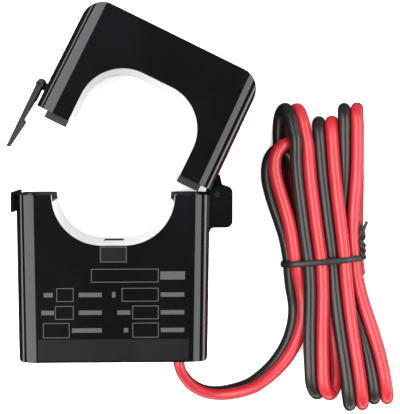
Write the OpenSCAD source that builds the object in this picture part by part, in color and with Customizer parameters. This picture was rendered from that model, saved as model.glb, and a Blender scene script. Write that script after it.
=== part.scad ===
// Split-core current transformer: a deep base with the winding and a hinged jaw, each half a
// glossy case round a U-shaped core, closed by a snap latch, with a twin lead folded in a hank.
// Millimetres. +Z points out of the front face, and the part lies on its rear face at z = 0.
// Outlines are drawn from the parting plane at y = 0, and each half is then set in the frame.

/* [Body] */
// Width of both halves at the parting plane
body_w = 57; // [55:0.5:64]
// Depth from the rear face to the front face
depth = 40; // [38:0.5:48]
// Height of the base under the parting plane
base_h = 49; // [47:0.5:60]
// Height of the jaw above its lower edge
jaw_h = 36; // [34.5:0.5:44]
// Taper of each side away from the parting plane, in degrees
side_draft = 0.85; // [0.4:0.05:1.2]
// Radius of the long edges between the sides and the faces
edge_r = 5.6; // [4:0.2:6.6]
// Radius of the jaw's top corners
jaw_corner_r = 6.7; // [3:0.1:9]
// Radius of the base's bottom corners
base_corner_r = 1.3; // [0.8:0.1:4]
// Thickness of the side walls and of the end walls
side_wall = 2; // [1.4:0.1:2.4]
// Thickness of the front and rear walls
face_wall = 2.2; // [1.4:0.1:2.6]

/* [Window] */
// Width of the conductor window
window_w = 36; // [33:0.5:37]
// Depth of the window in the base, which is also its corner radius
base_window_h = 14.7; // [11:0.1:16]
// Height of the window in the jaw
jaw_window_h = 22.2; // [18:0.2:23]
// Corner radius of the window in the jaw
jaw_window_r = 13.4; // [6:0.2:15]
// Thickness of the lining round the window
lining = 1.1; // [0.8:0.1:1.2]

/* [Pole faces] */
// Gap between the two cases when the jaw is shut
part_gap = 0.3; // [0.2:0.05:0.5]
// How far the jaw's pole collars stand below its case
tongue_h = 1.8; // [1:0.1:2.4]
// Width of each pole collar, out from the window's wall
tongue_w = 7; // [6.4:0.1:7.2]
// Distance of the pole collars from the front and rear faces
tongue_inset = 3.5; // [3:0.1:4.5]
// Depth of the block that holds each pole
collar_h = 8; // [5:0.5:9]
// Air gap between the pole faces when the jaw is shut
air_gap = 0.2; // [0.1:0.05:0.4]

/* [Core] */
// Thickness of the core's strip stack
core_t = 4.4; // [3.6:0.1:4.6]
// Width of the core, along the window
core_w = 24; // [20:0.5:26]
// Distance from the window's wall to the core
core_inset = 1.3; // [1.2:0.1:1.5]
// Inner corner radius of the jaw's core
jaw_core_r = 6; // [3:0.5:8]
// Inner corner radius of the base's core
base_core_r = 3; // [1:0.5:4]
// Distance from the jaw's lining to its yoke
jaw_yoke_gap = 0.9; // [0.5:0.1:1.5]
// Height of the middle of the base's yoke above the base's bottom face
yoke_up = 19; // [18.5:0.25:20]

/* [Winding] */
// Wall of the bobbin
bobbin_wall = 1; // [0.8:0.1:1.2]
// Height of the winding on the bobbin, above and below the yoke
winding_build = 4.8; // [3:0.1:5.2]
// Height of the winding towards the front and rear walls
winding_build_z = 2.9; // [2:0.1:3]
// How far the bobbin's flanges stand above the winding
flange_over = 0.7; // [0.4:0.1:0.8]

/* [Hinge] */
// Distance of the hinge pin from the side of the body
pivot_reach = 2.2; // [2.2:0.1:2.8]
// Radius of the hinge pin
pin_r = 0.9; // [0.6:0.05:1.1]
// Radius of the knuckle round the pin
knuckle_r = 1.9; // [1.7:0.05:1.95]
// How far the jaw stands open, in degrees
open_angle = 26; // [0:1:26]
// Depth of the hinge block along the pin
block_z = 28; // [24:1:30]
// Thickness of each ear of the hinge block
ear_z = 5.2; // [4:0.2:8]
// Reach of the hinge block from the side of the body
block_reach = 6.8; // [6.4:0.1:8]
// Height of the hinge block above the parting plane
block_top = 2.5; // [2.2:0.1:2.8]
// Depth of the hinge block under the parting plane
block_h = 9.9; // [6:0.1:14]
// Radius of the hinge block's outer corners
block_r = 2; // [1:0.1:2.4]

/* [Latch] */
// Width of the latch, along the window
latch_z = 10; // [8:0.5:14]
// Thickness of the latch at its pivot
latch_t = 1.8; // [1.6:0.1:2.2]
// Gap between the latch and the side of the jaw
latch_gap = 1.8; // [1.6:0.1:2.2]
// Height of the latch's pivot above the parting plane
latch_pivot_y = 6.5; // [6:0.1:8]
// Height of the latch's top above its pivot
latch_top = 1.8; // [1.5:0.1:2.2]
// How far the latch hangs below the parting plane
latch_drop = 14.6; // [12:0.2:18]
// Thickness of the latch at its tip
latch_tip = 0.6; // [0.5:0.1:1]
// Radius of the latch's pin
latch_pin_r = 0.5; // [0.4:0.05:0.55]
// Angle that the latch swings in to hook the rail
hook_angle = 5; // [4:0.5:6]
// Width of the jaw's lug between the latch's cheeks
lug_z = 4; // [3:0.5:5]
// Length of the catch rail, along the window
rail_z = 35; // [24:0.5:36]
// Height of the catch rail's lower edge under the parting plane
rail_low = 5; // [4:0.1:6]
// Height of the catch rail's upper edge above the parting plane
rail_top = 0.8; // [0.2:0.1:1]
// Thickness of the catch rail
rail_t = 0.95; // [0.8:0.05:1.1]
// Gap between the catch rail and the side of the base
rail_gap = 0.5; // [0.4:0.05:0.6]

/* [Front] */
// Width of the inlay under the window
inlay_w = 8; // [5:0.5:12]
// Height of the inlay under the window
inlay_h = 4.8; // [3:0.1:6]
// Width of the plain panel low on the front
panel_w = 44; // [30:0.5:45]
// Height of the plain panel
panel_h = 6.3; // [4:0.1:8]
// Distance of the plain panel from the bottom of the base
panel_up = 0.6; // [0.4:0.1:4]
// Thickness of the inlay and of the panel
plate_t = 0.5; // [0.3:0.05:0.8]

/* [Lead] */
// Diameter of each conductor with its sheath
conductor_d = 2.9; // [2.2:0.1:3.2]
// Distance of the lead's exit from the centre plane
exit_x = 19.8; // [14:0.1:21]
// Height of the hank
hank_z = 12; // [10:0.5:14]
// Thickness of the twist tie
tie_t = 1.5; // [1:0.1:2]
// Width of the twist tie
tie_w = 2.2; // [1.5:0.1:3]

/* [Hidden] */
$fn = 48;

// Height of the parting plane above the origin, which lies on the base's rear face
parting_y = 32;
// How far a cutting shape runs past what it cuts
past = 1;
// Clearance of pieces that are fitted by hand, and of pins that turn
fit_gap = 0.1;
pin_gap = 0.05;

half_w = body_w / 2;
half_window = window_w / 2;
mid_z = depth / 2;

core_near = half_window + core_inset;
core_far = core_near + core_t;

pivot = [half_w + pivot_reach, 0];
latch_x = -half_w - latch_gap - latch_t / 2;

yoke_depth = base_h - yoke_up;
yoke_y = -yoke_depth;
pocket_h = tongue_h + air_gap + fit_gap;

// ---------- placing ----------

// Sets what is drawn from the parting plane in the part's frame
module in_frame() {
    translate([0, parting_y, 0]) children();
}

// Turns what is drawn with the jaw shut to where the open jaw holds it
module on_jaw() {
    in_frame()
        translate([pivot[0], pivot[1], 0])
            rotate([0, 0, -open_angle])
                translate([-pivot[0], -pivot[1], 0])
                    children();
}

// Draws its children on the right and mirrored on the left
module both_sides() {
    children();
    mirror([1, 0, 0]) children();
}

// ---------- shared forms ----------

// The outline of one half in the front view, from y = 0 down or up (way = -1 or 1) to its far
// end, with tapered sides and two round corners there. mouth carries the taper on past y = 0
module half_outline(half, long, corner, way, mouth) {
    far = way * long;
    centre_y = far - way * corner;
    centre_x = half - abs(centre_y) * tan(side_draft) - corner / cos(side_draft);
    side = [
        centre_x + corner * cos(side_draft),
        centre_y + way * corner * sin(side_draft)
    ];
    mouth_x = half + mouth * tan(side_draft);
    polygon([
        [-mouth_x, -way * mouth], [mouth_x, -way * mouth], side, [centre_x, far],
        [-centre_x, far], [-side[0], side[1]]
    ]);
    for (s = [-1, 1])
        translate([s * centre_x, centre_y]) circle(r = corner);
}

// A bar that takes the square edge off one long side, tilted with the side's taper
module long_edge_cutter(half, long, radius, way, z_face, out) {
    translate([half, 0, z_face])
        rotate([0, 0, -way * -side_draft])
            difference() {
                translate([-radius, -long - past, out > 0 ? -radius : -past])
                    cube([radius + past, 2 * (long + past), radius + past]);
                translate([-radius, 0, -out * radius])
                    rotate([90, 0, 0])
                        cylinder(r = radius, h = 2 * (long + 2 * past), center = true);
            }
}

// One half as a solid block: tapered, with its four long edges rounded
module half_block(half, long, corner, radius, way, z_low, z_high, mouth = 0) {
    difference() {
        translate([0, 0, z_low])
            linear_extrude(z_high - z_low)
                half_outline(half, long, corner, way, mouth);
        both_sides() {
            long_edge_cutter(half, long, radius, way, z_high, 1);
            long_edge_cutter(half, long, radius, way, z_low, -1);
        }
    }
}

// What fills one half inside its walls, smaller by gap all round
module inside_block(long, corner, way, gap, mouth = 0) {
    inset = side_wall + gap;
    half_block(
        half_w - inset, long - inset, max(corner - inset, 0.5),
        edge_r - face_wall - gap, way, face_wall + gap, depth - face_wall - gap, mouth
    );
}

// The window in the base, grown by more: a floor between two quarter rounds
module base_window(more, z_low, z_high) {
    flat = half_window - base_window_h;
    translate([0, 0, z_low]) linear_extrude(z_high - z_low) {
        for (s = [-1, 1])
            translate([s * flat, 0]) circle(r = base_window_h + more);
        translate([-flat, -base_window_h - more])
            square([2 * flat, base_window_h + more + past]);
    }
}

// The window in the jaw, grown by more: straight walls under two round corners
module jaw_window(more, z_low, z_high) {
    round_x = half_window - jaw_window_r;
    round_y = jaw_window_h - jaw_window_r;
    translate([0, 0, z_low]) linear_extrude(z_high - z_low) {
        for (s = [-1, 1])
            translate([s * round_x, round_y]) circle(r = jaw_window_r + more);
        translate([-round_x, 0])
            square([2 * round_x, jaw_window_h + more]);
        translate([-half_window - more, -past])
            square([window_w + 2 * more, round_y + past]);
    }
}

// A U of flat strip standing on its poles, from the pole faces at y = 0 to the yoke at y = high
module u_core(high, inner_r) {
    outer_r = inner_r + core_t;
    translate([0, 0, mid_z - core_w / 2]) linear_extrude(core_w) {
        both_sides() {
            translate([core_near, 0]) square([core_t, high - outer_r]);
            translate([core_near - inner_r, high - outer_r]) intersection() {
                difference() {
                    circle(r = outer_r);
                    circle(r = inner_r);
                }
                square(outer_r + past);
            }
        }
        translate([-core_near + inner_r, high - core_t])
            square([2 * (core_near - inner_r), core_t]);
    }
}

// Where the core passes through a lining
module core_passage(y_low, y_high) {
    both_sides()
        translate([core_near - fit_gap, y_low, mid_z - core_w / 2 - fit_gap])
            cube([core_t + 2 * fit_gap, y_high - y_low, core_w + 2 * fit_gap]);
}

module upright(radius, z_low, z_high) {
    translate([0, 0, z_low]) cylinder(r = radius, h = z_high - z_low);
}

// ---------- base ----------

block_low_z = mid_z - block_z / 2;
block_high_z = mid_z + block_z / 2;
knuckle_gap = 0.3;
foot_h = 1.2;

// The hinge block seen from the front: a rounded block on the side wall with a pointed foot
module block_outline() {
    right = half_w + block_reach;
    root = half_w - side_wall / 2;
    slope_x = pivot[0] - 0.5;
    translate(pivot) circle(r = knuckle_r);
    for (y = [block_top - block_r, -block_h + block_r])
        translate([right - block_r, y]) circle(r = block_r);
    polygon([
        [root, 0], [pivot[0] - knuckle_r, 0],
        [pivot[0] - knuckle_r * cos(25), knuckle_r * sin(25)],
        [slope_x, block_top], [right - block_r, block_top],
        [right, block_top - block_r], [right, -block_h + block_r],
        [right - block_r, -block_h], [root, -block_h]
    ]);
    difference() {
        translate([root, -block_h - foot_h])
            square([half_w + foot_h - root, foot_h]);
        translate([half_w + foot_h, -block_h - foot_h]) circle(r = foot_h);
    }
}

// The channel between the ears in which the jaw's knuckle turns
module knuckle_channel() {
    stop_x = knuckle_r + knuckle_gap + 0.05;
    z_low = block_low_z + ear_z;
    z_high = block_high_z - ear_z;
    translate([pivot[0], pivot[1], 0]) {
        upright(stop_x, z_low, z_high);
        translate([-pivot_reach - past, 0, z_low])
            cube([stop_x + pivot_reach + past, block_top + past, z_high - z_low]);
    }
}

module catch_rail() {
    z_low = mid_z - rail_z / 2;
    outer = half_w + rail_gap + rail_t;
    neck_in = 1.3;
    translate([-outer, -rail_low, z_low])
        cube([rail_t, rail_low + rail_top, rail_z]);
    translate([-outer + rail_t / 2, -rail_low + neck_in, z_low + 2 * neck_in])
        cube([rail_t + rail_gap + side_wall / 2, rail_low - 2 * neck_in, rail_z - 4 * neck_in]);
}

module plate_recess(wide, high, y_low, gap) {
    translate([-wide / 2 - gap, y_low - gap, depth - plate_t])
        cube([wide + 2 * gap, high + 2 * gap, plate_t + past]);
}

inlay_y = -base_window_h - inlay_h - 0.2;
panel_y = -base_h + panel_up;

module base_shell() {
    color("#17181c") in_frame() difference() {
        union() {
            difference() {
                half_block(half_w, base_h, base_corner_r, edge_r, -1, 0, depth);
                inside_block(base_h, base_corner_r, -1, 0, past);
            }
            translate([0, 0, block_low_z]) linear_extrude(block_z) block_outline();
            catch_rail();
        }
        base_window(0, -past, depth + past);
        knuckle_channel();
        translate([pivot[0], pivot[1], 0])
            upright(pin_r + pin_gap, block_low_z - past, block_high_z + past);
        plate_recess(panel_w, panel_h, panel_y, fit_gap / 2);
        plate_recess(inlay_w, inlay_h, inlay_y, fit_gap / 2);
        translate([exit_x, -base_h, mid_z]) rotate([90, 0, 0])
            cylinder(r = bush_neck_r + fit_gap / 2, h = 4 * side_wall, center = true);
    }
}

// Lines the window and holds both poles: its sunk ledges take the jaw's collars
module base_lining() {
    tongue_gap = 0.4;
    color("#232429") in_frame() difference() {
        union() {
            intersection() {
                inside_block(base_h, base_corner_r, -1, fit_gap + 0.01);
                union() {
                    base_window(lining, 0, depth);
                    both_sides()
                        translate([half_window - lining, -collar_h, 0])
                            cube([half_w, collar_h, depth]);
                }
            }
        }
        base_window(0, -past, depth + past);
        both_sides()
            translate([half_window - lining - past, -pocket_h, tongue_inset - tongue_gap])
                cube([
                    lining + past + tongue_w + tongue_gap,
                    pocket_h + past,
                    depth - 2 * tongue_inset + 2 * tongue_gap
                ]);
        core_passage(-collar_h - past, past);
        floor_recess();
    }
}

// The shallow rest across the floor of the window
module floor_recess() {
    recess_h = 0.3;
    flat = half_window - base_window_h - 0.3;
    translate([-flat, -base_window_h - recess_h, 0.15 * depth])
        cube([2 * flat, 2 * recess_h, 0.525 * depth]);
}

module base_core() {
    pole_y = -tongue_h - air_gap;
    high = yoke_depth + core_t / 2 + pole_y;
    color("#6e6f73") in_frame()
        translate([0, pole_y, 0]) mirror([0, 1, 0]) u_core(high, base_core_r);
}

bobbin_half = core_near - base_core_r - 0.2;
tube_y = core_t / 2 + fit_gap;
tube_z = core_w / 2 + fit_gap;

// A tube round the yoke, rectangular in section, from -long to long
module round_the_yoke(half_long, half_y, half_z, hole_y, hole_z) {
    translate([0, yoke_y, mid_z]) difference() {
        cube([2 * half_long, 2 * half_y, 2 * half_z], center = true);
        cube([2 * half_long + past, 2 * hole_y, 2 * hole_z], center = true);
    }
}

module bobbin() {
    wall_y = tube_y + bobbin_wall;
    wall_z = tube_z + bobbin_wall;
    color("#d9d4c6") in_frame() {
        round_the_yoke(bobbin_half, wall_y, wall_z, tube_y, tube_z);
        both_sides()
            translate([bobbin_half - bobbin_wall, 0, 0])
                translate([bobbin_wall / 2, 0, 0])
                    round_the_yoke(
                        bobbin_wall / 2,
                        wall_y + winding_build + flange_over,
                        wall_z + winding_build_z + flange_over / 2,
                        tube_y, tube_z
                    );
    }
}

module winding() {
    wall_y = tube_y + bobbin_wall;
    wall_z = tube_z + bobbin_wall;
    color("#a8603a") in_frame() {
        round_the_yoke(
            bobbin_half - bobbin_wall, wall_y + winding_build, wall_z + winding_build_z,
            wall_y, wall_z
        );
        for (tail = TAILS)
            winding_tail(tail);
    }
}

// ---------- lead inside the base ----------

conductor_r = conductor_d / 2;
bush_neck_r = conductor_d + 0.6;
bush_lip_r = bush_neck_r + 0.9;
bush_lip_t = 0.8;
sleeve_r = conductor_r + 0.35;
sleeve_long = 6;
tail_wire_r = 0.5;

// Each tail: its height from the middle of the depth, where its joint ends, and how far its run
// lies above the bottom wall
TAILS = [[conductor_r, 0.5 * bobbin_half, 5.6], [-conductor_r, -0.12 * bobbin_half, 4]];

function tail_z(tail) = mid_z + tail[0];
function tail_y(tail) = -base_h + side_wall + tail[2];

module along_x(radius, x_low, x_high) {
    translate([x_low, 0, 0]) rotate([0, 90, 0]) cylinder(r = radius, h = x_high - x_low);
}

module along_y(radius, y_low, y_high) {
    translate([0, y_high, 0]) rotate([90, 0, 0]) cylinder(r = radius, h = y_high - y_low);
}

// The winding's own wire, from the coil down to the joint in its sleeve
module winding_tail(tail) {
    turn_x = tail[1] - 2;
    coil_low = yoke_y - tube_y - bobbin_wall - winding_build;
    translate([turn_x, 0, tail_z(tail)]) {
        along_y(tail_wire_r, tail_y(tail), coil_low);
        translate([0, tail_y(tail), 0]) {
            sphere(r = tail_wire_r);
            along_x(tail_wire_r, 0, 2);
        }
    }
}

module lead_tail(tail) {
    end_x = tail[1] + sleeve_long - 2;
    translate([0, 0, tail_z(tail)]) {
        translate([exit_x, 0, 0]) along_y(conductor_r, -base_h - bush_lip_t, tail_y(tail));
        translate([0, tail_y(tail), 0]) {
            translate([exit_x, 0, 0]) sphere(r = conductor_r);
            along_x(conductor_r, end_x, exit_x);
        }
    }
}

module joint_sleeve(tail) {
    low_x = tail[1];
    high_x = tail[1] + sleeve_long;
    translate([0, tail_y(tail), tail_z(tail)]) difference() {
        along_x(sleeve_r, low_x, high_x);
        along_x(conductor_r, high_x - 2, high_x + past);
    }
}

module lead_tail_red() {
    color("#d3222c") in_frame() lead_tail(TAILS[0]);
}

module lead_tail_black() {
    color("#1d1b1b") in_frame() lead_tail(TAILS[1]);
}

module joint_sleeve_red() {
    color("#b31f28") in_frame() joint_sleeve(TAILS[0]);
}

module joint_sleeve_black() {
    color("#141414") in_frame() joint_sleeve(TAILS[1]);
}

// A rubber bush in the bottom wall, with a bore for each conductor
module lead_bush() {
    color("#1a1a1c") in_frame() difference() {
        translate([exit_x, 0, mid_z]) {
            along_y(bush_neck_r, -base_h - bush_lip_t, -base_h + side_wall + bush_lip_t);
            along_y(bush_lip_r, -base_h - bush_lip_t, -base_h);
            along_y(bush_lip_r, -base_h + side_wall, -base_h + side_wall + bush_lip_t);
        }
        for (tail = TAILS)
            translate([exit_x, 0, tail_z(tail)])
                along_y(conductor_r + 0.05, -base_h - bush_lip_t - past, -base_h + side_wall + 2 * past);
    }
}

// ---------- plates on the front ----------

module front_plate(wide, high, y_low) {
    proud = 0.1;
    translate([-wide / 2, y_low, depth - plate_t]) cube([wide, high, plate_t + proud]);
}

module front_inlay() {
    color("#2b2c31") in_frame() front_plate(inlay_w, inlay_h, inlay_y);
}

module plain_panel() {
    color("#2f3035") in_frame() front_plate(panel_w, panel_h, panel_y);
}

// ---------- hinge pin ----------

module hinge_pin() {
    short = 0.4;
    color("#b9bbbf") in_frame()
        translate([pivot[0], pivot[1], 0])
            upright(pin_r, block_low_z + short, block_high_z - short);
}

// ---------- jaw ----------

// The jaw's knuckle and the arm that carries it on the side wall
knuckle_rise = 6;

module knuckle_outline() {
    root = half_w - side_wall / 2;
    translate(pivot) circle(r = knuckle_r);
    polygon([
        [root, part_gap], [root, knuckle_rise], [half_w + 0.9, knuckle_rise - 0.5],
        [pivot[0] + 0.7, 3], [pivot[0] + knuckle_r * cos(18), knuckle_r * sin(18)],
        pivot, [pivot[0] - 0.9 * knuckle_r, part_gap]
    ]);
}

lug_r = 1.2;

module jaw_lug() {
    z_low = mid_z - lug_z / 2;
    translate([latch_x, latch_pivot_y, 0]) {
        upright(lug_r, z_low, z_low + lug_z);
        translate([0, -lug_r, z_low])
            cube([-half_w + side_wall / 2 - latch_x, 2 * lug_r, lug_z]);
    }
}

module jaw_shell() {
    z_low = block_low_z + ear_z + knuckle_gap;
    z_high = block_high_z - ear_z - knuckle_gap;
    color("#17181c") on_jaw() difference() {
        union() {
            translate([0, part_gap, 0]) difference() {
                half_block(half_w, jaw_h, jaw_corner_r, edge_r, 1, 0, depth);
                inside_block(jaw_h, jaw_corner_r, 1, 0, past);
            }
            translate([0, 0, z_low]) linear_extrude(z_high - z_low) knuckle_outline();
            jaw_lug();
        }
        jaw_window(0, -past, depth + past);
        translate([pivot[0], pivot[1], 0]) upright(pin_r + pin_gap, 0, depth);
        translate([latch_x, latch_pivot_y, 0]) upright(latch_pin_r + pin_gap, 0, depth);
    }
}

// Lines the window and holds both poles in collars that stand out of the case
module jaw_lining() {
    color("#232429") on_jaw() difference() {
        union() {
            intersection() {
                translate([0, part_gap, 0]) inside_block(jaw_h, jaw_corner_r, 1, fit_gap);
                union() {
                    jaw_window(lining, 0, depth);
                    both_sides()
                        translate([half_window - lining, 0, 0])
                            cube([half_w, collar_h, depth]);
                }
            }
            both_sides()
                translate([half_window, -tongue_h, tongue_inset])
                    cube([tongue_w, tongue_h + part_gap + past, depth - 2 * tongue_inset]);
        }
        jaw_window(0, -past, depth + past);
        core_passage(-tongue_h - past, collar_h + past);
    }
}

jaw_core_high = jaw_window_h + lining + jaw_yoke_gap + core_t + tongue_h;

module jaw_core() {
    color("#6e6f73") on_jaw()
        translate([0, -tongue_h, 0]) u_core(jaw_core_high, jaw_core_r);
}

// A bowed leaf between the top wall and the yoke, which presses the poles down
module core_spring() {
    leaf_t = 0.4;
    leaf_z = 12;
    yoke_top = jaw_core_high - tongue_h;
    room = part_gap + jaw_h - side_wall - yoke_top;
    half_long = 13;
    rise = room - 1.5 * leaf_t;
    bow_r = (half_long * half_long + rise * rise) / (2 * rise);
    color("#a9abae") on_jaw()
        translate([0, yoke_top + room - bow_r, mid_z - leaf_z / 2])
            linear_extrude(leaf_z) intersection() {
                difference() {
                    circle(r = bow_r, $fn = 128);
                    circle(r = bow_r - leaf_t, $fn = 128);
                }
                translate([-half_long, 0]) square([2 * half_long, bow_r + past]);
            }
}

// ---------- latch ----------

module latch_pin() {
    short = 0.3;
    color("#b9bbbf") on_jaw()
        translate([latch_x, latch_pivot_y, 0])
            upright(latch_pin_r, mid_z - latch_z / 2 + short, mid_z + latch_z / 2 - short);
}

// A point of the hooked latch, given as it lies when hooked, swung back out to rest
function unhooked(x, y) = let (dx = x - latch_x, dy = y - latch_pivot_y) [
    latch_x + dx * cos(hook_angle) + dy * sin(hook_angle),
    latch_pivot_y - dx * sin(hook_angle) + dy * cos(hook_angle)
];

// The latch seen from the front: a wedge with a pocket for the rail and a lip that hooks under it
module latch_outline() {
    outer = latch_x - latch_t / 2;
    inner = latch_x + latch_t / 2;
    rail_face = -half_w - rail_gap - rail_t - 0.15;
    top = latch_pivot_y + latch_top;
    corner = 1;
    lip_y = -rail_low - 0.5;
    polygon([
        [outer, top - corner], [outer + 0.3 * corner, top - 0.3 * corner], [outer + corner, top],
        [inner, top],
        [inner, rail_top + 0.7], unhooked(rail_face, rail_top + 0.4),
        unhooked(rail_face, -rail_low - 0.3), [inner, lip_y],
        [inner, lip_y - 0.8],
        [outer + latch_tip, -latch_drop], [outer, -latch_drop]
    ]);
}

module latch() {
    z_low = mid_z - latch_z / 2;
    slot_gap = 0.2;
    color("#2a2b2f") on_jaw() difference() {
        union() {
            translate([0, 0, z_low]) linear_extrude(latch_z) latch_outline();
            translate([latch_x, latch_pivot_y, 0])
                upright(lug_r - 0.05, z_low, z_low + latch_z);
        }
        translate([latch_x, latch_pivot_y, 0])
            upright(latch_pin_r + pin_gap, 0, depth);
        translate([latch_x - latch_t, latch_pivot_y - lug_r - 0.3, mid_z - lug_z / 2 - slot_gap])
            cube([2 * latch_t, latch_top + lug_r + past, lug_z + 2 * slot_gap]);
    }
}

// ---------- free lead ----------

// Each point of the free lead: x, y, z, and how far the pair has turned over, in degrees
// (0 is red above black, 90 is red to the right of black)
LEAD = [
    [19.8, -17.8, 20, 0], [20, -21, 19.5, 0], [21.2, -24, 18, 0], [23.8, -27.4, 15.4, 0],
    [27.7, -30, 12.2, 0], [32, -31.2, 9.2, 8], [37, -31.1, 6.8, 18], [42.9, -29.7, 4.9, 35],
    [48.7, -26.5, 3.4, 55], [53.6, -21.8, 2.4, 75], [56.6, -17, 1.9, 90], [58.6, -11, 1.8, 90]
];

function lead_along(i) = let (
    a = LEAD[max(i - 1, 0)], b = LEAD[min(i + 1, len(LEAD) - 1)],
    d = [b[0] - a[0], b[1] - a[1], b[2] - a[2]]
) i == 0 ? [0, -1, 0] : d / norm(d);

// The direction from the black conductor to the red one
function lead_across(i) = let (
    along = lead_along(i),
    right = cross(along, [0, 0, 1]),
    level = right / norm(right),
    up = cross(level, along)
) up * cos(LEAD[i][3]) + level * sin(LEAD[i][3]);

// One ring of points round a conductor, on the side that side (-1 or 1) gives
function lead_ring(i, side, sides) = let (
    along = lead_along(i),
    across = lead_across(i),
    other = cross(along, across),
    centre = [LEAD[i][0], LEAD[i][1], LEAD[i][2]] + across * side * conductor_r
) [for (k = [0 : sides - 1])
    centre + conductor_r * (across * cos(360 * k / sides) + other * sin(360 * k / sides))];

module lead_tube(side) {
    sides = 8;
    rings = len(LEAD);
    points = [for (i = [0 : rings - 1]) each lead_ring(i, side, sides)];
    walls = [for (i = [0 : rings - 2], k = [0 : sides - 1], half = [0, 1]) let (
        a = i * sides + k, b = i * sides + (k + 1) % sides,
        c = a + sides, d = b + sides
    ) half == 0 ? [a, c, b] : [b, c, d]];
    first = [for (k = [0 : sides - 1]) k];
    last = [for (k = [sides - 1 : -1 : 0]) (rings - 1) * sides + k];
    polyhedron(points, concat(walls, [first, last]));
}

module lead_red() {
    color("#d3222c") lead_tube(1);
}

module lead_black() {
    color("#1d1b1b") lead_tube(-1);
}

// ---------- hank ----------

// The middle of the hank at its tie, and half its width and half its length there
hank_waist = [66.8, 10.5];
waist_half = 10.6;
neck_half = tie_w / 2 + 0.2;

// The centre and the radius of each bundle's round end, first above the tie and then below it
FAN_UP = [[[52.4, 42], 6.6], [[60.5, 55], 5.2], [[73, 55], 5.2]];
FAN_DOWN = [[[59.8, -9], 3.4], [[67, -28.5], 6], [[81, -30], 6.6]];

// Round-ended bundles of runs that fan out from the tie, seen from above
module fan(ends, way) {
    root = [hank_waist[0], hank_waist[1] + way * neck_half];
    spread = [waist_half + 0.6, 0];
    for (end = ends) {
        out = end[0] - root;
        side = way * end[1] * [-out[1], out[0]] / norm(out);
        translate(end[0]) circle(r = end[1]);
        polygon([root - spread, root + spread, end[0] - side, end[0] + side]);
    }
}

module hank() {
    color("#a02028") {
        linear_extrude(hank_z) fan(FAN_UP, 1);
        linear_extrude(hank_z) fan(FAN_DOWN, -1);
        translate([hank_waist[0] - waist_half, hank_waist[1] - neck_half, tie_t])
            cube([2 * waist_half, 2 * neck_half, hank_z - 2 * tie_t]);
    }
}

// A twist tie round the hank's neck, with its twisted ends lying up the right side
module hank_tie() {
    tail_r = 1.3;
    tail_long = 11;
    tail_x = hank_waist[0] + waist_half + tie_t + tail_r / 2;
    color("#262424") {
        translate([hank_waist[0], hank_waist[1] + tie_w / 2, hank_z / 2])
            rotate([90, 0, 0]) linear_extrude(tie_w) difference() {
                square([2 * (waist_half + tie_t), hank_z], center = true);
                square([2 * waist_half, hank_z - 2 * tie_t], center = true);
            }
        translate([tail_x, hank_waist[1], hank_z / 2]) {
            along_y(tail_r, 0, tail_long);
            translate([0, tail_long, 0]) sphere(r = tail_r);
        }
    }
}

base_shell();
base_lining();
base_core();
bobbin();
winding();
lead_bush();
lead_tail_red();
lead_tail_black();
joint_sleeve_red();
joint_sleeve_black();
front_inlay();
plain_panel();
hinge_pin();
jaw_shell();
jaw_lining();
jaw_core();
core_spring();
latch_pin();
latch();
lead_red();
lead_black();
hank();
hank_tie();
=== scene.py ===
# %% [markdown]
# # A current transformer that opens
# A glossy black case in two halves closes round a power cable and is held by a side latch. Two
# PVC conductors carry the small measured current away. The case comes from the CAD model as
# it is; this lesson gives it finishes, rounded edges, its coloured fields and its folded lead.

# %%
import bpy
import bmesh
import math
import numpy as np
from mathutils import Vector, Matrix


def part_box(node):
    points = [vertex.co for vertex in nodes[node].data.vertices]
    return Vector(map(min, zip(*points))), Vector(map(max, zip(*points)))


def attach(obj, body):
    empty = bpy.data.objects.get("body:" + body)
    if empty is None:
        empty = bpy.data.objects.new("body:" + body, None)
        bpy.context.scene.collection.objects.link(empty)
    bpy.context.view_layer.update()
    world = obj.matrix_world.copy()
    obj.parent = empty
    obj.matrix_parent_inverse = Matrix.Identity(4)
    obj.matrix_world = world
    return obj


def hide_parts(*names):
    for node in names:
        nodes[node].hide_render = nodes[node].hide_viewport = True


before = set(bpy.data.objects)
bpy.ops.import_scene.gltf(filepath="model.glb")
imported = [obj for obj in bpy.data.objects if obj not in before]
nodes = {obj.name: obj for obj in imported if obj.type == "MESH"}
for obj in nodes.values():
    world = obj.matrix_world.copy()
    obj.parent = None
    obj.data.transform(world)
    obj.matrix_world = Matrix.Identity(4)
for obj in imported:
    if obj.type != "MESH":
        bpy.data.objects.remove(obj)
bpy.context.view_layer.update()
MM = 0.001


# %% [markdown]
# ## Camera
# The object lies on its back and is seen from straight above, a little off its middle, with a
# long lens, so the walls of the window and the outer sides just show. The camera stands well
# above the left of the case and looks at the middle of the picture.

# %%
def add_camera(place, target, lens):
    data = bpy.data.cameras.new("studio_camera")
    camera = bpy.data.objects.new("studio_camera", data)
    bpy.context.scene.collection.objects.link(camera)
    data.lens, data.sensor_width = lens, 36
    data.clip_start, data.clip_end = 0.05, 10
    view = (Vector(target) - Vector(place)).normalized()
    right = view.cross(Vector((0, 1, 0))).normalized()
    up = right.cross(view)
    turned = Matrix((right, up, -view)).transposed().to_4x4()
    camera.matrix_world = Matrix.Translation(place) @ turned
    bpy.context.scene.camera = camera
    return camera


camera = add_camera((3.4 * MM, 45.1 * MM, 470 * MM), (25.3 * MM, 28.5 * MM, 40 * MM), 128.3)
print("camera", [round(v, 3) for v in camera.location])


# %% [markdown]
# ## The lead's route
# The lead is two conductors side by side, a red and a black one. It drops from the bush in the
# bottom wall, curves down to the table and runs to a hank: up and down eight times, turned over
# at each end, with a tie round the middle. Each row below is a point of the middle line, and
# the direction from the black conductor to the red one there.

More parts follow.
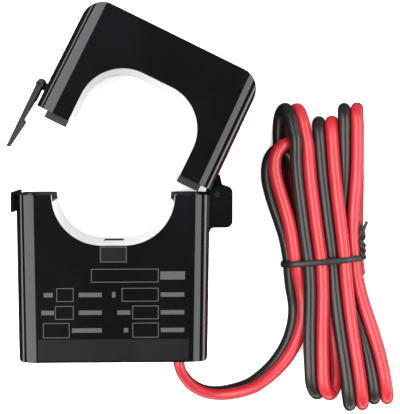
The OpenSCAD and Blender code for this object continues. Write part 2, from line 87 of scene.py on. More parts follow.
# %%
CONDUCTOR_D = 4.1
COARSE, FINE = 2.0, 0.9  # spacing of the line's points while it settles, and in the mesh
LEAD = [  # x, y, z, and the turn of the pair round its own line
    (19.8, -17.8, 20, 0), (20, -21, 19.5, 0), (21.2, -24, 18, 0), (23.8, -27.4, 15.4, 0),
    (27.7, -30, 12.4, 0), (32, -31.2, 9.8, 4), (37, -31.1, 7.8, 10), (42.9, -29.7, 6.2, 16),
    (48.7, -26.5, 5.0, 22), (53.6, -21.8, 4.3, 28), (56.6, -17, 4.1, 32), (58.6, -11, 4.3, 36),
]


def pair_direction(line, i, turn):
    """From black to red: straight up at no turn, level and to the right at 90 degrees."""
    a, b = Vector(line[max(i - 1, 0)][:3]), Vector(line[min(i + 1, len(line) - 1)][:3])
    along = Vector((0, -1, 0)) if i == 0 else (b - a).normalized()
    level = along.cross(Vector((0, 0, 1))).normalized()
    up = level.cross(along)
    return up * math.cos(math.radians(turn)) + level * math.sin(math.radians(turn))


controls = [(Vector(p[:3]), pair_direction(LEAD, i, p[3])) for i, p in enumerate(LEAD)]

# %% [markdown]
# ## The hank
# A run is given by where it lies along its length. At its end it turns over: a half circle
# that stands upright, worked out from the heights of the two runs that it joins. The first
# turn of all lies flat instead, like a loop on the table.

# %%
LEVEL = (1, 0, 0)


def run(*points):
    """Points of a run: x, y, z and, where it isn't level, the pair's direction."""
    for p in points:
        controls.append((Vector(p[:3]), Vector(p[3] if len(p) > 3 else LEVEL).normalized()))


def turn_over(x_from, x_to, y_end, z_from, z_to, steps=6):
    """A half circle upright, with its outermost point at y_end."""
    way = 1 if y_end > 10 else -1
    radius = abs(z_to - z_from) / 2
    for i in range(steps + 1):
        a = math.pi * i / steps
        y = y_end - way * radius * (1 - math.sin(a))
        z = (z_from + z_to) / 2 - (z_to - z_from) / 2 * math.cos(a)
        controls.append((Vector((x_from + (x_to - x_from) * i / steps, y, z)), Vector(LEVEL)))


TOP, LOW = 10.2, 2.1
TIP = (0.97, 0, 0.24)
run((59.6, -3, 5.0, (0.5, 0, 0.85)), (57.3, 9.6, 7.4, (0.4, 0, 0.9)),
    (54.6, 20, 8.6, (0.8, 0, 0.6)), (50.6, 31, 8.9, (0.9, 0, 0.45)))
run((48.1, 39.5, 8.9, (0.85, -0.1, 0.5)), (49.5, 46.0, 8.4, (0.5, -0.4, 0.8)),
    (53.9, 48.6, 7.6, (0, -0.3, 1)), (58.2, 46.0, 6.9, (0.3, 0.2, 0.9)),
    (59.8, 39.5, 6.3, (0.7, 0, 0.7)))
run((60.8, 30, 6.1, (0.95, 0, 0.3)), (63.2, 18, 6.1), (64.5, 9.6, 6.1), (65.2, 0, 6.1),
    (66.6, -10, 6.1), (68.4, -19, 5.4))
turn_over(69.6, 63.4, -34.6, LOW, TOP)
run((63.6, -23, 10.1, TIP), (63.3, -14, 10.1, TIP), (63.4, -2, 10.1, TIP), (62.7, 10, 10.1, TIP),
    (60.8, 26, 10.1, TIP), (59.2, 38, 10.2, TIP), (57.8, 50, 10.2))
turn_over(57.2, 54.0, 60.6, TOP, LOW)
run((54.6, 44, LOW), (56.6, 28, LOW), (59.8, 9.6, LOW), (62.8, 0, LOW), (67.6, -8, LOW),
    (73.0, -16, LOW), (76.4, -24, LOW))
turn_over(77.6, 76.5, -38.4, LOW, TOP)
run((75.1, -23.5, 10.1, TIP), (73.4, -14, 10.1, TIP), (71.5, -2, 10.1, TIP), (70.3, 10, 10.1, TIP),
    (68.6, 26, 10.1, TIP), (67.0, 39, 10.2, TIP))
turn_over(66.0, 67.4, 56.6, TOP, LOW)
run((67.4, 42, LOW), (67.6, 25, LOW), (67.8, 9.6, LOW), (70.8, 0, LOW), (75.4, -8, LOW),
    (80.2, -16, LOW), (83.6, -24, LOW))
turn_over(84.6, 84.2, -36.6, LOW, TOP)
run((82.7, -23.5, 10.0, TIP), (80.2, -14, 9.7, TIP), (76.0, -1, 7.8, (0.8, 0, 0.55)),
    (73.9, 9.6, 7.8, (0.87, 0, 0.5)), (73.4, 24, 8.0, (0.87, 0, 0.5)), (74.4, 39, 9.6, TIP))
turn_over(73.8, 75.4, 60.8, TOP, LOW)
run((75.4, 42, LOW), (75.2, 25, 2.7, (0.9, 0, 0.4)), (74.8, 9.6, 3.5, (0.7, 0, 0.7)),
    (74.2, 4, 3.5, (0.8, 0, 0.6)))
print(len(controls), "points in the lead's route")


# %%
def smooth_line(points, step):
    """A curve through all the points, with a point every step along it."""
    p = np.array(points, float)
    p = np.vstack([2 * p[0] - p[1], p, 2 * p[-1] - p[-2]])
    fine = []
    for a, b, c, d in zip(p[:-3], p[1:-2], p[2:-1], p[3:]):
        t1, t2, t3 = np.cumsum([max(np.linalg.norm(v[:3]), 1e-6) ** 0.5
                                for v in (b - a, c - b, d - c)])
        for t in np.linspace(t1, t2, 25)[:-1]:
            ab = (t1 - t) / t1 * a + t / t1 * b
            bc = (t2 - t) / (t2 - t1) * b + (t - t1) / (t2 - t1) * c
            cd = (t3 - t) / (t3 - t2) * c + (t - t2) / (t3 - t2) * d
            abc = (t2 - t) / t2 * ab + t / t2 * bc
            bcd = (t3 - t) / (t3 - t1) * bc + (t - t1) / (t3 - t1) * cd
            fine.append((t2 - t) / (t2 - t1) * abc + (t - t1) / (t2 - t1) * bcd)
    fine = np.array(fine + [p[-2]])
    along = np.concatenate([[0], np.cumsum(np.linalg.norm(np.diff(fine[:, :3], axis=0), axis=1))])
    at = np.linspace(0, along[-1], int(round(along[-1] / step)) + 1)
    return np.column_stack([np.interp(at, along, fine[:, k]) for k in range(p.shape[1])])


def square_to_line(centre, across):
    """The pair's direction, made square to the line that it follows."""
    along = np.gradient(centre, axis=0)
    along /= np.linalg.norm(along, axis=1)[:, None]
    across = across - (across * along).sum(1)[:, None] * along
    return along, across / np.linalg.norm(across, axis=1)[:, None]


route = smooth_line([(*p, *a) for p, a in controls], COARSE)
centre, across = route[:, :3], route[:, 3:]
along, across = square_to_line(centre, across)
print("the lead before it settles:", round(COARSE * (len(centre) - 1)), "mm")


# %% [markdown]
# ## Letting the runs settle
# Runs that were laid down point by point touch in places, and PVC doesn't pass through PVC. So each
# point of each conductor pushes away any point of another run that is nearer than a diameter,
# the table pushes up, and a little smoothing keeps the bends even. Two hundred rounds of this
# leave the conductors lying against each other.

# %%
def settle(centre, across, spacing, rounds, keep_first, even=0.12):
    r = CONDUCTOR_D / 2
    count = len(centre)
    apart = int(round(11 / spacing))
    index = np.concatenate([np.arange(count)] * 2)
    far = np.abs(index[:, None] - index[None, :]) > apart
    free = np.clip((np.arange(count) - keep_first) / 6, 0, 1)[:, None]
    start = centre.copy()
    for n in range(rounds):
        _, across = square_to_line(centre, across)
        cores = np.vstack([centre - r * across, centre + r * across])
        gap = cores[:, None, :] - cores[None, :, :]
        dist = np.linalg.norm(gap, axis=2) + 1e-9
        deep = np.where(far, np.clip(CONDUCTOR_D + 0.05 - dist, 0, None), 0)
        push = (gap / dist[:, :, None] * deep[:, :, None]).sum(1)
        hits = (deep > 0).sum(1)
        push = 0.5 * push / np.maximum(hits, 1)[:, None] ** 0.7
        push[:, 2] += np.clip(r - cores[:, 2], 0, None)
        shift = (push[:count] + push[count:]) / 2
        across = across + free * (push[count:] - push[:count]) / (2 * r) * 0.7
        across[1:-1] += free[1:-1] * 0.2 * ((across[:-2] + across[2:]) / 2 - across[1:-1])
        smooth = np.zeros_like(centre)
        smooth[1:-1] = (centre[:-2] + centre[2:]) / 2 - centre[1:-1]
        centre = centre + free * (0.9 * shift + even * smooth + 0.012 * (start - centre))
    worst = deep.max()
    return centre, across / np.linalg.norm(across, axis=1)[:, None], worst


centre, across, worst = settle(centre, across, COARSE, 200, 18)
print("deepest overlap left between runs: %.2f mm" % worst)
route = smooth_line(np.column_stack([centre, across]), FINE)
centre, across = route[:, :3], route[:, 3:]
along, across = square_to_line(centre, across)


# %% [markdown]
# ## Materials: sums on sockets
# A small class wraps a shader socket, so that a pattern reads as a sum: 0.3 + 0.2 * noise adds
# the Math nodes by itself. Every other node comes from one method, with its settings first.

# %%
class Sock:
    def __init__(self, mat, link):
        self.mat, self.link = mat, link

    def maths(self, how, other, flip=False):
        values = (other, self) if flip else (self, other)
        return self.mat.node("ShaderNodeMath", {"operation": how}, *values)

    def __add__(self, o): return self.maths("ADD", o)
    def __radd__(self, o): return self.maths("ADD", o, True)
    def __mul__(self, o): return self.maths("MULTIPLY", o)
    def __rmul__(self, o): return self.maths("MULTIPLY", o, True)


class Finish:
    """A material, its Principled shader, and the one method that adds a node."""

    def __init__(self, name, **constants):
        self.data = bpy.data.materials.new(name)
        self.data.use_nodes = True
        self.tree = self.data.node_tree
        self.shader = self.tree.nodes["Principled BSDF"]
        for key, value in constants.items():
            self.shader.inputs[key.replace("_", " ")].default_value = value
        self.place = self.node("ShaderNodeTexCoord", out="Object")

    def node(self, kind, settings=None, *values, out=0, **named):
        made = self.tree.nodes.new(kind)
        for key, value in (settings or {}).items():
            setattr(made, key, value)
        slots = [(i, v) for i, v in enumerate(values)] + list(named.items())
        for key, value in slots:
            socket = made.inputs[key.replace("_", " ") if isinstance(key, str) else key]
            if isinstance(value, Sock):
                self.tree.links.new(value.link, socket)
            elif value is not None:
                socket.default_value = value
        return Sock(self, made.outputs[out])

    def noise(self, scale, detail=3, rough=0.5):
        return self.node("ShaderNodeTexNoise", None, Vector=self.place, Scale=scale,
                         Detail=detail, Roughness=rough, out="Fac")

    def part_of(self):
        xyz = self.node("ShaderNodeSeparateXYZ", None, self.place)
        return [Sock(self, xyz.link.node.outputs[i]) for i in range(3)]

    def clamp(self, value, low, high):
        return self.node("ShaderNodeMapRange", {"clamp": True}, value, low, high)

    def mix(self, factor, a, b):
        mixed = self.node("ShaderNodeMix", {"data_type": "RGBA"}, out=2)
        for socket, value in zip((0, 6, 7), (factor, a, b)):
            target = mixed.link.node.inputs[socket]
            if isinstance(value, Sock):
                self.tree.links.new(value.link, target)
            else:
                target.default_value = value
        return mixed

    def feed(self, key, value):
        self.tree.links.new(value.link, self.shader.inputs[key])

    def bump(self, height, depth, strength=1.0):
        self.feed("Normal", self.node("ShaderNodeBump", None, Strength=strength, Distance=depth,
                                      Height=height))


def grey(v, warm=0.0):
    return (v * (1 + warm), v, v * (1 - warm), 1)


def dress(obj, *finishes):
    if len(obj.data.materials):
        obj.data.materials.clear()
    for finish in finishes:
        obj.data.materials.append(finish.data)


# %% [markdown]
# ## The lead as a mesh
# One tube for each conductor, swept along its own side of the middle line, makes the pair that
# is joined along its length. The two tubes share one mesh and have a finish each. A UV map
# runs along each tube, so that a pattern can follow every bend. The lead is squeezed a little
# thinner where it comes out of the bush.

# %%
def sweep(bm, line, side, other, radius, sides, finish, uv):
    """A round tube along a line of points, closed at both ends, with a radius for each point."""
    rings = []
    for p, a, b, size in zip(line, side, other, radius):
        rings.append([bm.verts.new((p + size * (math.cos(t) * a + math.sin(t) * b)) * MM)
                      for t in np.linspace(0, 2 * math.pi, sides, endpoint=False)])
    run_mm = np.concatenate([[0], np.cumsum(np.linalg.norm(np.diff(line, axis=0), axis=1))])
    for i, (low, high) in enumerate(zip(rings, rings[1:])):
        for k in range(sides):
            face = bm.faces.new((low[k], low[(k + 1) % sides], high[(k + 1) % sides], high[k]))
            face.material_index, face.smooth = finish, True
            for loop, (j, n) in zip(face.loops, ((k, i), (k + 1, i), (k + 1, i + 1), (k, i + 1))):
                loop[uv].uv = (j / sides, run_mm[n] / 10)
    for ring in (rings[0][::-1], rings[-1]):
        bm.faces.new(ring).material_index = finish
    return rings


def mesh_object(name, bm):
    bmesh.ops.recalc_face_normals(bm, faces=bm.faces)
    data = bpy.data.meshes.new(name)
    bm.to_mesh(data)
    bm.free()
    obj = bpy.data.objects.new(name, data)
    bpy.context.scene.collection.objects.link(obj)
    return obj


bm = bmesh.new()
uv = bm.loops.layers.uv.new("along")
from_exit = np.arange(len(centre)) * FINE
r = CONDUCTOR_D / 2 * (0.80 + 0.20 * np.clip(from_exit / 60, 0, 1))
beside = (r - 0.03)[:, None] * across
third = np.cross(along, across)
sweep(bm, centre - beside, across, third, r, 16, 0, uv)
sweep(bm, centre + beside, across, third, r, 16, 1, uv)
for side in (-1, 1):  # the bare copper end of each conductor
    start = centre[-1] + side * beside[-1]
    end = np.array([start + along[-1] * t for t in (-1.0, 1.5, 4.0, 4.5)])
    frame_of = [np.repeat(v[-1:], 4, 0) for v in (across, third)]
    sweep(bm, end, *frame_of, np.array((0.75, 0.75, 0.7, 0.4)), 10, 2, uv)
lead = mesh_object("twin_lead", bm)
print("the lead has", len(lead.data.polygons), "faces")


# %% [markdown]
# ## Floor and light
# A white table, two large soft boxes, one on each side, and a broad lamp overhead that lights
# the table and the lead but shows in no reflection. Black gloss shows only what it
# reflects: the faces that look straight up see the dark room over the camera and stay black,
# and the rounded long edges see the soft boxes, which draws the sharp pale stripes on them.

# %%
def area_light(name, place, target, size, power):
    data = bpy.data.lights.new(name, "AREA")
    data.shape, data.size, data.size_y, data.energy = "RECTANGLE", size[0], size[1], power
    lamp = bpy.data.objects.new(name, data)
    bpy.context.scene.collection.objects.link(lamp)
    lamp.location = place
    lamp.rotation_euler = (Vector(target) - Vector(place)).to_track_quat("-Z", "Y").to_euler()
    return lamp


bpy.ops.object.select_all(action="DESELECT")
bpy.ops.mesh.primitive_plane_add(size=6, location=(0, 0, -0.0004))
floor = bpy.context.object
floor.name = "table"
paper = Finish("white_paper", Roughness=0.9)
paper.feed("Base Color", paper.mix(paper.noise(900, 4), grey(0.90), grey(0.94)))
dress(floor, paper)

world = bpy.context.scene.world or bpy.data.worlds.new("room")
bpy.context.scene.world = world
world.use_nodes = True
world.node_tree.nodes["Background"].inputs[0].default_value = (1, 1, 1, 1)
world.node_tree.nodes["Background"].inputs[1].default_value = 0.05
area_light("left_box", (-0.51, 0.03, 0.64), (0.02, 0.03, 0.11), (1.1, 0.97), 13)
area_light("right_box", (0.645, 0.03, 0.613), (0.12, 0.03, 0.0), (1.1, 0.60), 7.5)
fill = area_light("ceiling", (0.03, 0.03, 1.1), (0.03, 0.03, 0), (2.4, 2.4), 95)
fill.visible_glossy = False
bpy.context.scene.view_settings.view_transform = "Standard"


# %% [markdown]
# ## A black card for the reflections
# Black gloss on a white table would mirror the table along its lower edges. A studio puts black
# card round the object, out of the picture, and this is the same: a dark ring just over the
# table that only reflections can see. Its hole is the window's, open or shut, so the polished
# window walls still mirror the white table.

# %%
CARD_HOLE = [(0, 15.5), (18.5, 20), (20, 36), (26.5, 48), (26, 57), (20, 66.5), (9, 70),
             (-2, 68), (-12, 62), (-15.5, 53), (-19, 36), (-18.5, 20)]
CARD_Z = 0.1  # just over the table
bm = bmesh.new()
middle = Vector((6, 30, CARD_Z))
hole = [Vector((x, y, CARD_Z)) for x, y in CARD_HOLE]
inner = [bm.verts.new(p * MM) for p in hole]
outer = [bm.verts.new((middle + 9 * (p - middle)) * MM) for p in hole]
for i in range(len(inner)):
    j = (i + 1) % len(inner)
    bm.faces.new((inner[i], inner[j], outer[j], outer[i]))
card_mesh = bpy.data.meshes.new("black_card")
bm.to_mesh(card_mesh)
bm.free()
card = bpy.data.objects.new("black_card", card_mesh)
bpy.context.scene.collection.objects.link(card)
card.visible_camera = card.visible_diffuse = card.visible_shadow = False
card.visible_transmission = card.visible_volume_scatter = False
card_black = Finish("card_black", Roughness=1.0, Specular_IOR_Level=0.0)
card_black.feed("Base Color", card_black.mix(card_black.noise(200), grey(0.008), grey(0.012)))
dress(card, card_black)


# %% [markdown]
# ## Softening the moulded edges
# A moulded edge is never razor sharp, and a highlight along it is what tells the eye that it
# is real. The CAD shells have sharp rims, so each is copied, its triangles are merged into
# clean faces, and a Bevel modifier rounds every edge that turns by more than 35 degrees.

# %%
def select_none():
    if bpy.context.object and bpy.context.object.mode != "OBJECT":
        bpy.ops.object.mode_set(mode="OBJECT")
    bpy.ops.object.select_all(action="DESELECT")


def softened(node, width, segments=2, name=None):
    select_none()
    copy = nodes[node].copy()
    copy.data = nodes[node].data.copy()
    copy.name = name or node + "_soft"
    copy.parent = None
    bpy.context.scene.collection.objects.link(copy)
    copy.matrix_world = Matrix()
    copy.select_set(True)
    bpy.context.view_layer.objects.active = copy
    bpy.ops.object.mode_set(mode="EDIT")
    bpy.ops.mesh.select_all(action="SELECT")
    bpy.ops.mesh.remove_doubles(threshold=0.002 * MM)
    bpy.ops.mesh.dissolve_limited(angle_limit=math.radians(0.8))
    bpy.ops.object.mode_set(mode="OBJECT")
    bevel = copy.modifiers.new("edge", "BEVEL")
    bevel.width, bevel.segments = width * MM, segments
    bevel.limit_method, bevel.angle_limit = "ANGLE", math.radians(35)
    bevel.use_clamp_overlap = True
    bevel.miter_outer = "MITER_ARC"
    bpy.ops.object.modifier_apply(modifier="edge")
    bpy.ops.object.shade_smooth_by_angle(angle=math.radians(32))
    weigh = copy.modifiers.new("weigh", "WEIGHTED_NORMAL")
    weigh.mode, weigh.weight, weigh.keep_sharp = "FACE_AREA", 90, True
    bpy.ops.object.modifier_apply(modifier="weigh")
    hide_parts(node)
    print(copy.name, len(copy.data.polygons), "faces")
    return copy


base_case = softened("base_shell", 0.3)
jaw_case = softened("jaw_shell", 0.3)
base_liner = softened("base_lining", 0.2)
jaw_liner = softened("jaw_lining", 0.2)
latch_soft = softened("latch", 0.22)
for obj, body in ((base_case, "base"), (base_liner, "base"), (jaw_case, "jaw"),
                  (jaw_liner, "jaw"), (latch_soft, "latch")):
    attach(obj, body)


# %% [markdown]
# ## Finishes of the case
# The shells are glossy moulded black plastic: nearly black, with a clear skin, a faint
# unevenness left by the mould and fine wear where they are handled. The linings, the latch and
# the collars are the same plastic with a fine spark-eroded grain, so they look dark grey.

# %%
def gloss_black():
    m = Finish("gloss_black_case", IOR=1.5, Specular_IOR_Level=0.5)
    broad, fine = m.noise(40, 2), m.noise(900, 4, 0.6)
    m.feed("Base Color", m.mix(m.clamp(broad, 0.35, 0.7), grey(0.0014, -0.15), grey(0.0024, -0.15)))
    m.feed("Roughness", 0.045 + 0.05 * fine + 0.05 * m.clamp(m.noise(160, 3), 0.55, 0.8))
    m.bump(broad + 0.15 * fine, 0.00003, 0.35)
    return m


def grained(name, dark, light, rough, scale=2600, depth=0.00002):
    m = Finish(name, IOR=1.45)
    grain = m.noise(scale, 3, 0.7)
    m.feed("Base Color", m.mix(m.clamp(m.noise(60, 4), 0.3, 0.7), dark, light))
    m.feed("Roughness", rough + 0.14 * grain)
    m.bump(grain, depth, 0.6)
    return m


case = gloss_black()
lining = grained("grained_lining", grey(0.0045), grey(0.0075), 0.48)
latch_finish = grained("grained_latch", grey(0.0040), grey(0.0070), 0.40)
for obj in (base_case, jaw_case):
    dress(obj, case)
polished = Finish("polished_window_wall", IOR=1.52)
polished.feed("Base Color", polished.mix(polished.noise(300, 3), grey(0.010), grey(0.016)))
polished.feed("Roughness", 0.03 + 0.05 * polished.noise(700, 3))
for obj in (base_liner, jaw_liner):
    dress(obj, lining)
    obj.data.materials.append(polished.data)


def polish_walls(obj, inside):
    """The second finish on the faces that stand upright and look into the window."""
    done = 0
    for face in obj.data.polygons:
        c, n = face.center / MM, face.normal
        if abs(n.z) < 0.3 and inside(c + 1.5 * n) and not inside(c - 0.5 * n):
            face.material_index = 1
            done += 1
    print(obj.name, done, "polished faces")


def in_base_window(p):
    x, y = abs(p.x), p.y - 32
    return y < 0.5 and (x < 3.3 and y > -14.8 or math.hypot(max(x - 3.3, 0), y) < 14.8)


def in_jaw_window(p):
    """The jaw's window, with the point turned back to where the shut jaw would hold it."""
    turned = Matrix.Rotation(math.radians(26), 2) @ Vector((p.x - 30.7, p.y - 32))
    x, y = abs(turned.x + 30.7), turned.y
    corner = math.hypot(max(x - 4.6, 0), max(y - 8.8, 0))
    return y > -0.5 and x < 18.1 and y < 22.3 and (x < 4.6 or y < 8.8 or corner < 13.5)


polish_walls(base_liner, in_base_window)
polish_walls(jaw_liner, in_jaw_window)
dress(latch_soft, latch_finish)
for name, finish in (("base_shell", case), ("jaw_shell", case), ("base_lining", lining),
                     ("jaw_lining", lining), ("latch", latch_finish)):
    dress(nodes[name], finish)


# %% [markdown]
# ## Finishes of what is inside and of the small metal parts
# Wound steel strip shows its layers as fine lines across the pole faces, enamelled copper is a
# brown with close turns, the bobbin is natural nylon and the pins are blackened steel.

# %%
def layered_steel():
    m = Finish("wound_steel", Metallic=0.9)
    x, y, z = m.part_of()
    layers = m.node("ShaderNodeMath", {"operation": "SINE"}, (x * 2.0 + y * 0.02) * 9000)
    shade = m.clamp(layers + m.noise(500), 0.2, 1.4)
    m.feed("Base Color", m.mix(shade, grey(0.20), grey(0.34, 0.02)))
    m.feed("Roughness", 0.34 + 0.2 * m.noise(1500))
    m.bump(layers, 0.00001, 0.5)
    return m


def copper_turns():
    m = Finish("enamelled_copper", Metallic=0.85, Coat_Roughness=0.15)
    x, y, z = m.part_of()
    turns = m.node("ShaderNodeMath", {"operation": "SINE"}, x * 12000)
    m.feed("Base Color", m.mix(m.clamp(turns, -1, 1), (0.22, 0.06, 0.02, 1), (0.60, 0.22, 0.09, 1)))
    m.feed("Roughness", 0.28 + 0.15 * m.noise(900))
    m.bump(turns, 0.00008, 0.8)
    return m


def drawn_steel():
    m = Finish("blackened_steel", Metallic=0.9)
    m.feed("Base Color", m.mix(m.noise(700), grey(0.018), grey(0.032)))
    m.feed("Roughness", 0.24 + 0.18 * m.noise(2000))
    return m


steel, copper, pin_steel = layered_steel(), copper_turns(), drawn_steel()
nylon = grained("natural_nylon", (0.62, 0.57, 0.46, 1), (0.70, 0.66, 0.56, 1), 0.38, 1200)
rubber = grained("bush_rubber", grey(0.014), grey(0.022), 0.55, 1800)
for finish, names in ((steel, ("base_core", "jaw_core")), (copper, ("winding",)),
                      (pin_steel, ("hinge_pin", "latch_pin", "core_spring")),
                      (nylon, ("bobbin",)), (rubber, ("lead_bush",))):
    for name in names:
        dress(nodes[name], finish)


# %% [markdown]
# ## Finishes of the lead
# Soft PVC is glossy and a little see-through, so its edges glow; light comes off it as one
# long streak. The red one is bright and warm. The black one is a brownish grey in the light.

# %%
def pvc(name, deep, light, sheen):
    m = Finish(name, IOR=1.5, Subsurface_Weight=0.12, Subsurface_Scale=0.001,
               Coat_Weight=0.25, Coat_Roughness=0.18)
    m.feed("Base Color", m.mix(m.clamp(m.noise(120, 3), 0.3, 0.7), deep, light))
    m.feed("Roughness", sheen + 0.12 * m.noise(1400, 3))
    m.bump(m.noise(420, 3) + 0.4 * m.noise(2600), 0.00004, 0.4)
    return m


red_pvc = pvc("red_pvc", (0.20, 0.0055, 0.0095, 1), (0.25, 0.008, 0.013, 1), 0.27)
black_pvc = pvc("black_pvc", grey(0.0045, 0.14), grey(0.0070, 0.14), 0.30)
dress(lead, black_pvc, red_pvc, copper)
for name in ("lead_tail_red", "joint_sleeve_red"):
    dress(nodes[name], red_pvc)
for name in ("lead_tail_black", "joint_sleeve_black"):
    dress(nodes[name], black_pvc)
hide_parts("lead_red", "lead_black", "hank")
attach(lead, "base")
path = [list(p * MM) for p in centre]


# %% [markdown]
# ## The panels on the front
# The two shallow panels are plain: a satin inlay in the middle and a wide field under it.

# %%
panel = grained("satin_panel", grey(0.0040, -0.06), grey(0.0058, -0.06), 0.10, 1600, 0.00001)
for name in ("front_inlay", "plain_panel"):
    dress(nodes[name], panel)


# %% [markdown]
# ## The twist tie
# A plastic-covered wire goes once round the hank and its two ends are twisted together. Its
# ring follows the outline of the runs where it holds them: the outline of all the conductors'
# circles there, made a little larger, with a flat oval section swept along it.

# %%
def outline_of(points):
    """The convex outline of 2-D points, anticlockwise."""
    points = sorted(map(tuple, points))
    lower, upper = [], []
    for side, order in ((lower, points), (upper, points[::-1])):
        for p in order:
            while len(side) > 1 and (
                (side[-1][0] - side[-2][0]) * (p[1] - side[-2][1])
                - (side[-1][1] - side[-2][1]) * (p[0] - side[-2][0])
            ) <= 0:
                side.pop()
            side.append(p)
    return np.array(lower[:-1] + upper[:-1])


held = []
for side in (-1, 1):
    core = centre + side * beside
    near = core[np.abs(core[:, 1] - 10.2) < 1.6]
    for p in near:
        held += [(p[0] + 2.35 * math.cos(t), p[2] + 2.35 * math.sin(t))
                 for t in np.linspace(0, 2 * math.pi, 20, endpoint=False)]
ring = outline_of(held)
ring = np.vstack([ring, ring[:1]])
at = np.concatenate([[0], np.cumsum(np.linalg.norm(np.diff(ring, axis=0), axis=1))])
steps = np.linspace(0, at[-1], 97)[:-1]
ring = np.column_stack([np.interp(steps, at, ring[:, k]) for k in range(2)])
for n in range(3):
    ring = (np.roll(ring, 1, 0) + 2 * ring + np.roll(ring, -1, 0)) / 4
ring[:, 1] = np.maximum(ring[:, 1], 0.5)
tie_line = np.column_stack([ring[:, 0], 9.3 + 0.09 * (ring[:, 0] - 56), ring[:, 1]])


def sweep_closed(bm, line, half_wide, half_thick, sides=12):
    """A flat oval section round a closed line, its flat side square to the y axis."""
    along = np.roll(line, -1, 0) - np.roll(line, 1, 0)
    along /= np.linalg.norm(along, axis=1)[:, None]
    wide = np.array((0, 1.0, 0)) - along[:, 1:2] * along
    wide /= np.linalg.norm(wide, axis=1)[:, None]
    out = np.cross(wide, along)
    rings = [[bm.verts.new((p + half_wide * math.cos(t) * w + half_thick * math.sin(t) * o) * MM)
              for t in np.linspace(0, 2 * math.pi, sides, endpoint=False)]
             for p, w, o in zip(line, wide, out)]
    for low, high in zip(rings, rings[1:] + rings[:1]):
        for k in range(sides):
            bm.faces.new((low[k], low[(k + 1) % sides], high[(k + 1) % sides],
                          high[k])).smooth = True


bm = bmesh.new()
uv = bm.loops.layers.uv.new("along")
sweep_closed(bm, tie_line, 0.95, 0.42)
right = tie_line[np.argmax(tie_line[:, 0] + 0.6 * tie_line[:, 2])]
for turn in (0, math.pi):
    tail = []
    for t in np.linspace(0, 1, 60):
        open_up = max(t - 0.72, 0) * 5
        a = turn + 2 * math.pi * 2.2 * min(t, 0.72) / 0.72
        lean = -1.3 if turn else 1.0
        tail.append((right[0] - 0.5 * t + 0.62 * math.cos(a) + lean * open_up,
                     right[1] + (13.5 if turn else 11.5) * t,
                     right[2] + 0.3 + 0.5 * t + 0.62 * math.sin(a)))
    tail = np.array(tail)
    go = np.gradient(tail, axis=0)
    go /= np.linalg.norm(go, axis=1)[:, None]
    a_side = np.cross(go, (0, 0, 1.0))
    a_side /= np.linalg.norm(a_side, axis=1)[:, None]
    sweep(bm, tail, a_side, np.cross(go, a_side), np.full(len(tail), 0.55), 10, 0, uv)
tie = mesh_object("twist_tie", bm)
tie_black = Finish("tie_plastic", IOR=1.48)
tie_black.feed("Base Color", tie_black.mix(tie_black.noise(200), grey(0.006), grey(0.010)))
tie_black.feed("Roughness", 0.34 + 0.15 * tie_black.noise(1500))
tie_black.bump(tie_black.noise(900), 0.00003, 0.5)
dress(tie, tie_black)
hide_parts("hank_tie")
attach(tie, "base")
print("the tie:", tie_line.min(0).round(1), tie_line.max(0).round(1))


# %% [markdown]
# ## Printed fields
# Four rows of plain outlined boxes and short bars stand in for the print on such a case. Each
# is a film of grey ink on the front face, much thinner than a hair: a flat plate, inset, with
# its middle taken out for an outline, and then pulled up to its thickness.

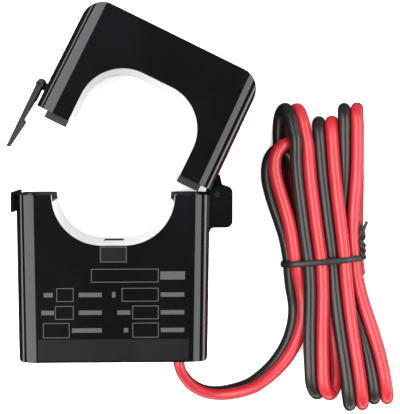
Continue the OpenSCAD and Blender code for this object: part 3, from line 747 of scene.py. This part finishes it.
# %%
INK, LINE = 0.02, 0.22
front_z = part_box("base_shell")[1].z / MM
ROWS = [  # the middle of the row, its height, the outlined boxes and the plain bars
    (8.5, 4.0, [(-6.5, 13.2)], [(13.7, 20.9, 2.4)]),
    (2.9, 4.0, [(2.4, 13.2), (-16.6, -11.6)],
     [(-0.4, 0.6, 1.6), (-20.3, -17.6, 1.3), (-10.1, -3.4, 1.3), (13.8, 20.7, 1.3)]),
    (-2.3, 4.0, [(5.5, 13.2), (-17.0, -11.6)],
     [(1.1, 4.9, 1.3), (-21.0, -17.3, 1.3), (-10.1, -3.4, 1.3), (13.8, 20.7, 1.3)]),
    (-7.5, 4.4, [(5.5, 13.2), (-20.5, -12.8)],
     [(3.0, 4.3, 1.3), (-12.1, -3.4, 1.3), (13.8, 20.7, 1.3)]),
]


def ink_field(x_low, x_high, y_mid, high, outline):
    select_none()
    bpy.ops.mesh.primitive_plane_add(size=1, location=((x_low + x_high) / 2 * MM, y_mid * MM,
                                                       (front_z + 0.004) * MM))
    plate = bpy.context.object
    plate.scale = ((x_high - x_low) * MM, high * MM, 1)
    bpy.ops.object.transform_apply(location=True, rotation=True, scale=True)
    bpy.ops.object.mode_set(mode="EDIT")
    bpy.ops.mesh.select_all(action="SELECT")
    if outline:
        bpy.ops.mesh.inset(thickness=LINE * MM, depth=0)
        bpy.ops.mesh.delete(type="FACE")
        bpy.ops.mesh.select_all(action="SELECT")
    bpy.ops.mesh.extrude_region_move(TRANSFORM_OT_translate={"value": (0, 0, INK * MM)})
    bpy.ops.mesh.select_all(action="SELECT")
    bpy.ops.mesh.normals_make_consistent(inside=False)
    bpy.ops.object.mode_set(mode="OBJECT")
    return plate


def join(objects, name):
    select_none()
    for obj in objects:
        obj.select_set(True)
    bpy.context.view_layer.objects.active = objects[0]
    bpy.ops.object.join()
    objects[0].name = name
    return objects[0]


fields = []
for y_mid, high, boxes, bars in ROWS:
    fields += [ink_field(a, b, y_mid, high, True) for a, b in boxes]
    fields += [ink_field(a, b, y_mid, bar, False) for a, b, bar in bars]
low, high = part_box("front_inlay")
fields.append(ink_field(low.x / MM + 0.1, high.x / MM - 0.1, (low.y + high.y) / 2 / MM,
                        (high.y - low.y) / MM - 0.2, True))
for vertex in fields[-1].data.vertices:
    vertex.co.z += 0.1 * MM
fields = join(fields, "ink_fields")
ink = Finish("grey_ink", IOR=1.45)
speckle = ink.clamp(ink.noise(3000, 2), 0.3, 0.7)
ink.feed("Base Color", ink.mix(speckle, grey(0.017, 0.06), grey(0.025, 0.06)))
ink.feed("Roughness", 0.5 + 0.2 * ink.noise(1800))
dress(fields, ink)
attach(fields, "base")
print("ink fields:", len(fields.data.polygons), "faces")
